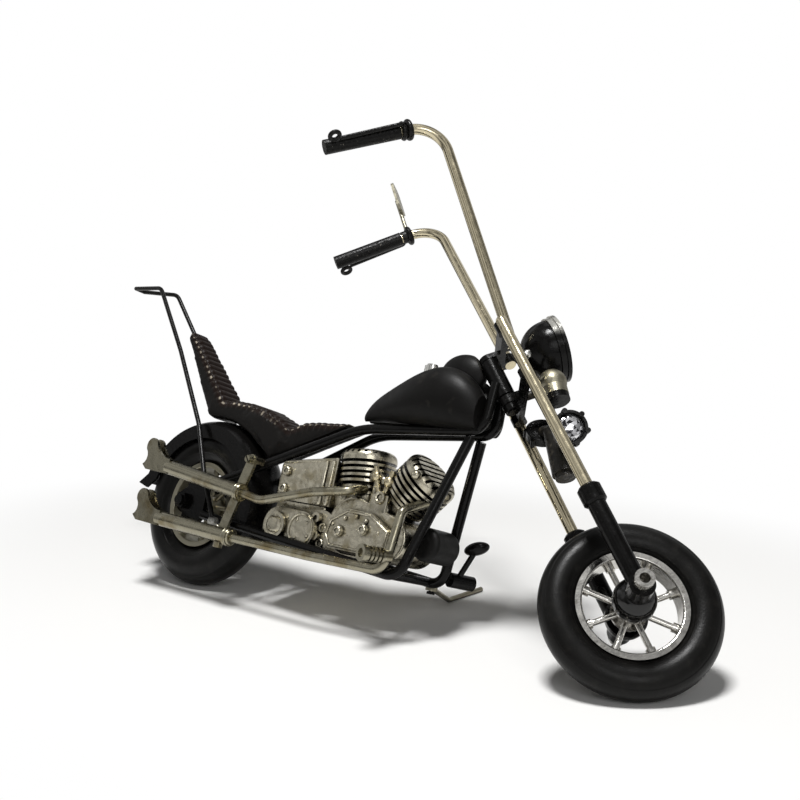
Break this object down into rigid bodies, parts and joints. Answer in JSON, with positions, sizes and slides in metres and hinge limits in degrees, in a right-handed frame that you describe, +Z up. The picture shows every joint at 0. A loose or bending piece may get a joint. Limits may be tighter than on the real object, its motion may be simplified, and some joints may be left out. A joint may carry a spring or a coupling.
{
  "type": "model chopper motorcycle",
  "caption": "Hand-built metal model of a long-fork chopper with tall bars, vee engine, pleated seat and sissy bar, leaning on its side stand; wheels, steering and stand move.",
  "frame": {"origin": "middle of the box on the ground it stands on, leaning on its side stand", "axes": "+X towards the front of the machine, +Y to its left, +Z up from the ground"},
  "size_m": [0.2326, 0.0854, 0.1428],
  "materials": {
    "black_enamel": "gloss black enamel",
    "nickel": "warm nickel plate",
    "cast_silver": "bright casting with dark wash in its recesses",
    "bright_metal": "polished plate",
    "tyre_rubber": "smooth black rubber",
    "black_grip": "satin black",
    "seat_leather": "dark pleated leather",
    "lamp_glass": "clear",
    "stone": "cut clear stone"
  },
  "bodies": {
    "frame": {"neck": "black_enamel", "right_top_rail": "black_enamel", "left_top_rail": "black_enamel", "right_cradle": "black_enamel", "left_cradle": "black_enamel", "cross_tubes": "black_enamel", "axle_plates": "black_enamel", "rear_axle": "bright_metal", "fuel_tank": "black_enamel", "console": "black_enamel", "filler_cap": "bright_metal", "seat": "seat_leather", "rear_fender": "black_enamel", "sissy_bar": "black_enamel", "crankcase": "cast_silver", "rear_cylinder": "cast_silver", "front_cylinder": "cast_silver", "rocker_covers": "cast_silver", "intake": "nickel", "timing_cover": "cast_silver", "gearbox": "cast_silver", "gearbox_cover": "cast_silver", "primary_cover": "cast_silver", "generator": "black_enamel", "oil_tank": "cast_silver", "upper_exhaust": "nickel", "lower_exhaust": "nickel", "pipe_hanger": "nickel", "right_foot_peg": "cast_silver", "left_foot_peg": "black_enamel", "shift_pedal": "black_enamel", "stand_lug": "black_enamel"},
    "fork": {"fork_clamps": "black_enamel", "fork_tubes": "nickel", "fork_sliders": "black_enamel", "front_axle": "bright_metal", "handlebars": "nickel", "grips": "black_grip", "levers": "black_enamel", "handlebar_mirror": "bright_metal", "headlamp_shell": "black_enamel", "headlamp_ring": "bright_metal", "headlamp_lens": "lamp_glass", "lamp_bracket": "black_enamel", "spot_settings": "black_enamel", "spot_stones": "stone", "bullet_lamp": "bright_metal", "bullet_rim": "black_enamel"},
    "front_wheel": {"front_tyre": "tyre_rubber", "front_wheel": "bright_metal", "front_hub_covers": "black_enamel"},
    "rear_wheel": {"rear_tyre": "tyre_rubber", "rear_wheel": "cast_silver", "rear_disc": "black_enamel", "rear_sprocket": "black_enamel"},
    "side_stand": {"side_stand": "bright_metal"}
  },
  "joints": [
    {"name": "steering", "type": "hinge", "parent": "frame", "child": "fork", "pos_m": [0.04405, -0.0015, 0.07457], "axis": [-0.6323, 0.2643, 0.7283], "range_deg": [-75.8, 0]},
    {"name": "front_wheel_spin", "type": "hinge", "parent": "fork", "child": "front_wheel", "pos_m": [0.09644, -0.01938, 0.01807], "axis": [-0.4768, 0.6081, -0.6347], "continuous": true},
    {"name": "rear_wheel_spin", "type": "hinge", "parent": "frame", "child": "rear_wheel", "pos_m": [-0.05163, -0.02, 0.02405], "axis": [-0.0012, 0.9397, -0.342], "continuous": true},
    {"name": "side_stand_fold", "type": "hinge", "parent": "frame", "child": "side_stand", "pos_m": [0.03082, -0.01028, 0.0091], "axis": [0.0032, 0.342, 0.9397], "range_deg": [0, 75]}
  ]
}
